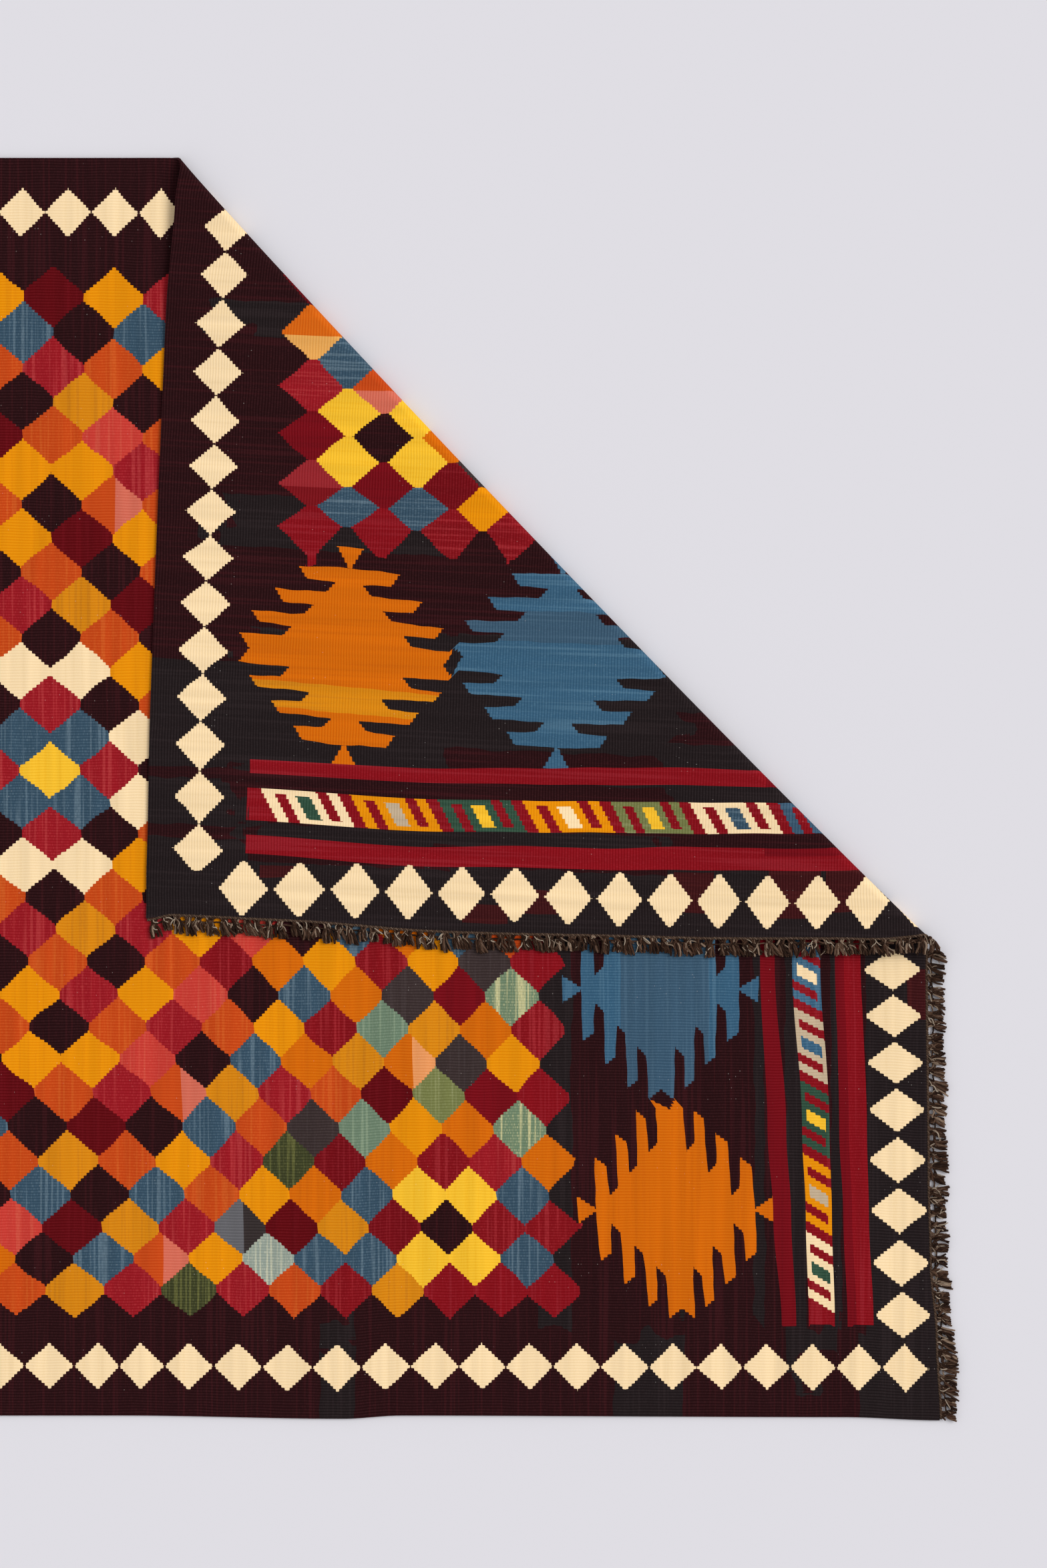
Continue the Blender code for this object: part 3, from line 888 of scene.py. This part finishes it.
KNOT_PITCH = 0.0143
KNOT_OUT = 0.0080  # how far out of the cloth's end the row of knots lies
TUFT_REACH = (0.0200, 0.0270)
CORD_PITCH = 0.0062
CORD_RADIUS = 0.00115
PLY_TURNS = 3.0  # of the twist along a loose end
PLY_HEIGHT = 0.0005
DARK, PALE, EDGE = 0, 1, 2  # places of the wools in a fringe's materials
WARP_WOOLS = (  # name, browns and the share of the strands at which each starts, colour of the pale hairs
    (
        "undyed brown warp wool",
        ((0.00, "#2A1A12"), (0.25, "#39261B"), (0.55, "#483124"), (0.80, "#5A4334"), (0.94, "#8A7563")),
        "#8E7C6C",
    ),
    ("undyed fawn warp wool", ((0.00, "#8C7A68"), (0.50, "#AA9A87")), "#C4B8A8"),
    ("undyed mixed brown wool", ((0.00, "#4E3D31"), (0.50, "#5E4A3C")), "#9C8A7A"),
)


def lay_strand(curve, spots, radii, place, wool=DARK):
    """Adds one tapering strand of wool through spots given as out of the end, y and height."""
    spline = curve.splines.new("POLY")
    spline.material_index = wool
    spline.points.add(len(spots) - 1)
    for point, spot, radius in zip(spline.points, spots, radii):
        point.co = (*place(*spot), 1.0)
        point.radius = radius


def twined_cord(curve, out, start, stop, radius, pitch, wander, place):
    """Two plies wound round each other along the cloth's end."""
    steps = round((stop - start) / pitch * 5)
    for ply in (0, math.pi):
        spots = []
        for i in range(steps + 1):
            y = start + (stop - start) * i / steps
            turn = math.tau * (y - start) / pitch + ply
            drift = wander * noise.noise((y * 90, out * 900, 0.0))
            aside, up = radius * 0.8 * math.cos(turn), radius * (1.9 + 0.8 * math.sin(turn))
            spots.append((out + drift + aside, y, up))
        lay_strand(curve, spots, [radius] * len(spots), place, EDGE)


def loose_end(curve, root, turn, length, radius, chance, place, wool=DARK):
    """One curled end of warp wool, from its root spot outwards."""
    curl = chance.uniform(-0.0018, 0.0018)
    waves = chance.uniform(0.8, 1.9) * math.pi
    rise = chance.uniform(-0.0006, 0.0014)
    spots = []
    for step in range(6):
        t = step / 5
        aside = curl * math.sin(waves * t)
        spots.append((
            root[0] + length * t * math.cos(turn) - aside * math.sin(turn),
            root[1] + length * t * math.sin(turn) + aside * math.cos(turn),
            max(root[2] + rise * math.sin(math.pi * t), radius),
        ))
    lay_strand(curve, spots, [radius * share for share in (0.9, 1.1, 1.15, 1.15, 1.1, 0.85)], place, wool)


def knot_tuft(curve, knot, next_knot, lean, chance, place):
    """One warp bundle: legs off the cloth, a knot tied to its neighbour, and a spray of loose ends."""
    out, y = knot
    for side in (-1.0, -0.35, 0.35, 1.0):
        foot = y + side * chance.uniform(0.0034, 0.0062)
        middle = y + (foot - y) * chance.uniform(0.45, 0.8)
        leg = [(0.0010, foot, 0.0018), (out * 0.5, middle, 0.0022), (out, y + side * 0.0014, 0.0024)]
        lay_strand(curve, leg, (0.0014, 0.0013, 0.0019), place)
    for tilt in (chance.uniform(-1.0, -0.2), chance.uniform(0.2, 1.0)):
        drop = tilt * 0.0018
        turns = [(out - drop, y - 0.0027, 0.0020), (out, y, 0.0034), (out + drop, y + 0.0027, 0.0020)]
        lay_strand(curve, turns, (0.0011, 0.0019, 0.0011), place)
    if next_knot:
        sag = chance.uniform(-0.0012, 0.0010)
        halfway = ((out + next_knot[0]) / 2 + sag, (y + next_knot[1]) / 2, 0.0018)
        link = [(out, y, 0.0022), halfway, (*next_knot, 0.0022)]
        lay_strand(curve, link, (0.0012, 0.0010, 0.0012), place)
    reach = chance.uniform(*TUFT_REACH) - out
    fan = chance.uniform(0.10, 0.30)
    ends = chance.choice((8, 9, 9, 10, 11))
    for i in range(ends):
        across = (i + 0.5) / ends * 2 - 1 + chance.uniform(-0.2, 0.2)
        turn = lean + across * fan + chance.uniform(-0.12, 0.12)
        length = reach * chance.uniform(0.84, 1.04) / max(math.cos(turn), 0.8)
        radius = chance.uniform(0.0010, 0.0016)
        height = chance.uniform(0.0014, 0.0042)
        loose_end(curve, (out, y + across * 0.0036, height), turn, length, radius, chance, place)
    for _ in range(chance.choice((1, 2, 3))):
        root = (
            out * chance.uniform(0.3, 1.1),
            y + chance.uniform(-0.005, 0.005),
            chance.uniform(0.0028, 0.0040),
        )
        turn = lean + chance.choice((-1, 1)) * chance.uniform(0.2, 1.3)
        length, radius = chance.uniform(0.005, 0.010), chance.uniform(0.0009, 0.0014)
        loose_end(curve, root, turn, length, radius, chance, place)
    for _ in range(chance.choice((1, 2, 3, 4))):
        root = (
            out * chance.uniform(0.2, 1.4),
            y + chance.uniform(-0.004, 0.004),
            chance.uniform(0.0034, 0.0048),
        )
        turn = lean + chance.uniform(-0.9, 0.9)
        length, radius = chance.uniform(0.006, 0.013), chance.uniform(0.0004, 0.0007)
        loose_end(curve, root, turn, length, radius, chance, place, PALE)


def knot_fringe(node, side, turned, start, stop, seed, wools):
    """Fringe along one end from y start to stop: twined edge, net, row of knots and tufts of brown warp."""
    chance = random.Random(seed)
    end = RIGHT_END if side > 0 else LEFT_END

    def place(out, y, height):
        x = side * (abs(read_table(end, y)) + out)
        return folded(Vector((x, y, THICKNESS - height if turned else height)))

    name = "knotted_" + node
    curve = bpy.data.curves.new(name, "CURVE")
    curve.dimensions = "3D"
    curve.bevel_depth = 1.0
    curve.bevel_resolution = 1
    curve.use_fill_caps = True
    for wool in wools:
        curve.materials.append(wool)
    twined_cord(curve, 0.0014, start, stop, CORD_RADIUS, CORD_PITCH, 0.0004, place)
    count = round((stop - start) / KNOT_PITCH)
    knots = []
    for i in range(count):
        y = start + (stop - start) * (i + 0.5 + chance.uniform(-0.14, 0.14)) / count
        knots.append((KNOT_OUT + chance.uniform(-0.0012, 0.0014), y))
    for knot, next_knot in zip(knots, knots[1:] + [None]):
        lean = -0.22 - 0.3 * noise.noise((knot[1] * 14, seed, 0.0)) + chance.uniform(-0.16, 0.16)
        knot_tuft(curve, knot, next_knot, lean, chance, place)
    strung = bpy.data.objects.new(name, curve)
    mesh = bpy.data.meshes.new_from_object(strung)
    mesh.name = name
    bpy.data.objects.remove(strung)
    bpy.data.curves.remove(curve)
    return add_piece(name, mesh, "warp_wool", node)


def end_meets_roll(used_there):
    """y on the right end at which this much of the cloth has gone into the roll."""
    low, high = NEAR_SELVEDGE[-1][1], FAR_SELVEDGE[-1][1]
    for _ in range(40):
        y = (low + high) / 2
        used = (Vector((read_table(RIGHT_END, y), y)) - FOLD_FROM).dot(FOLD_OUT) + OUTER_RADIUS
        low, high = (y, high) if used < used_there else (low, y)
    return low


def warp_wool(name, browns, fleck):
    """Undyed warp wool, spun in two plies of mixed brown hair: matt and hairy, with painted shade in the
    hollows between the plies.
    """
    material = bpy.data.materials.new(name)
    material.use_nodes = True
    tree = material.node_tree
    node = partial(add_node, tree)
    strand = node("NewGeometry", out=8)
    stops = [(place, linear(colour), 1.0) for place, colour in browns]
    brown = node("ValToRGB", strand, stops=stops)
    around, along = (node("SeparateXYZ", node("UVMap"), out=i) for i in (0, 1))
    turned = node("MULTIPLY_ADD", along, PLY_TURNS, node("MULTIPLY", around, 2.0))
    plies = node("MULTIPLY_ADD", node("SINE", node("MULTIPLY", turned, math.tau)), 0.5, 0.5)
    hairs_place = node("CombineXYZ", node("MULTIPLY", turned, 2.5), node("MULTIPLY", along, 3.0), node(
        "MULTIPLY", strand, 50.0))
    hairs = node("TexNoise", hairs_place, 1.6, 2.0, 0.6)
    height = node("MULTIPLY_ADD", hairs, 0.8, node("MULTIPLY", plies, 0.6))
    # Painted shade: the brown deepens in the hollows between the plies and hairs, a touch lighter on top.
    shaded = node("Gamma", brown, node("MapRange", height, 0.3, 1.0, 1.22, 0.96))
    share = node("MapRange", strand, 0.5, 1.0, 0.1, 1.0)
    pale_hairs = node("MULTIPLY", node("MapRange", hairs, 0.52, 0.72, 0.0, 0.8), share)
    colour = node("Mix", pale_hairs, shaded, (*linear(fleck), 1.0), data_type="RGBA")
    bump = node("Bump", 0.6, PLY_HEIGHT, None, height)
    shader = tree.nodes["Principled BSDF"]
    tree.links.new(colour, shader.inputs["Base Color"])
    tree.links.new(bump, shader.inputs["Normal"])
    shader.inputs["Roughness"].default_value = 0.92
    shader.inputs["Specular IOR Level"].default_value = 0.1
    return material


# ---------------------------------------------------------------- studio

PHOTO_WIDTH, PHOTO_HEIGHT = 1568, 2349
PIXEL_SIZE = 0.00082
PHOTO_ORIGIN = (76, 1181)  # pixel of the flat rug's origin
CAMERA_HEIGHT = 6.0


def set_up_studio():
    """Pale floor, soft light from the right and above, and a camera looking straight down."""
    scene = bpy.context.scene
    camera = bpy.data.objects.new("camera", bpy.data.cameras.new("camera"))
    scene.collection.objects.link(camera)
    camera.location = (
        (PHOTO_WIDTH / 2 - PHOTO_ORIGIN[0]) * PIXEL_SIZE + SHIFT.x,
        (PHOTO_ORIGIN[1] - PHOTO_HEIGHT / 2) * PIXEL_SIZE + SHIFT.y,
        CAMERA_HEIGHT,
    )
    camera.data.lens = camera.data.sensor_width * CAMERA_HEIGHT / (PHOTO_HEIGHT * PIXEL_SIZE)
    scene.camera = camera

    bm = bmesh.new()
    bmesh.ops.create_grid(bm, x_segments=1, y_segments=1, size=8.0)
    mesh = bpy.data.meshes.new("floor")
    bm.to_mesh(mesh)
    bm.free()
    # Matt seamless paper: it has no gloss, so the ground stays an even pale grey.
    paper = bpy.data.materials.new("pale paper")
    paper.use_nodes = True
    shader = paper.node_tree.nodes["Principled BSDF"]
    shader.inputs["Base Color"].default_value = (*linear("#E4E2E6"), 1.0)
    shader.inputs["Roughness"].default_value = 0.9
    mesh.materials.append(paper)
    floor = bpy.data.objects.new("floor", mesh)
    floor.location.z = -0.0005
    scene.collection.objects.link(floor)

    sun = bpy.data.objects.new("soft light", bpy.data.lights.new("soft light", "SUN"))
    sun.data.energy = 1.7
    sun.data.angle = math.radians(35)
    sun.rotation_euler = (math.radians(-12), math.radians(42), 0.0)
    scene.collection.objects.link(sun)

    world = bpy.data.worlds.new("studio")
    world.use_nodes = True
    world.node_tree.nodes["Background"].inputs["Color"].default_value = (*linear("#F4F4F8"), 1.0)
    world.node_tree.nodes["Background"].inputs["Strength"].default_value = 0.62
    scene.world = world
    scene.view_settings.view_transform = "Standard"


set_up_studio()
woven = weave_cloth(tapestry_wool())
wools = [warp_wool(*wool) for wool in WARP_WOOLS]
near, far = NEAR_SELVEDGE[-1][1] + FRINGE_MARGIN, FAR_SELVEDGE[-1][1] - FRINGE_MARGIN
fringes = [
    knot_fringe("fringe_left", -1, False, near, far, 7, wools),
    knot_fringe("fringe_right", 1, False, near, end_meets_roll(FLOOR_FRINGE_STOP), 3, wools),
    knot_fringe("fringe_flap", 1, True, end_meets_roll(FLAP_FRINGE_START), far, 5, wools),
]
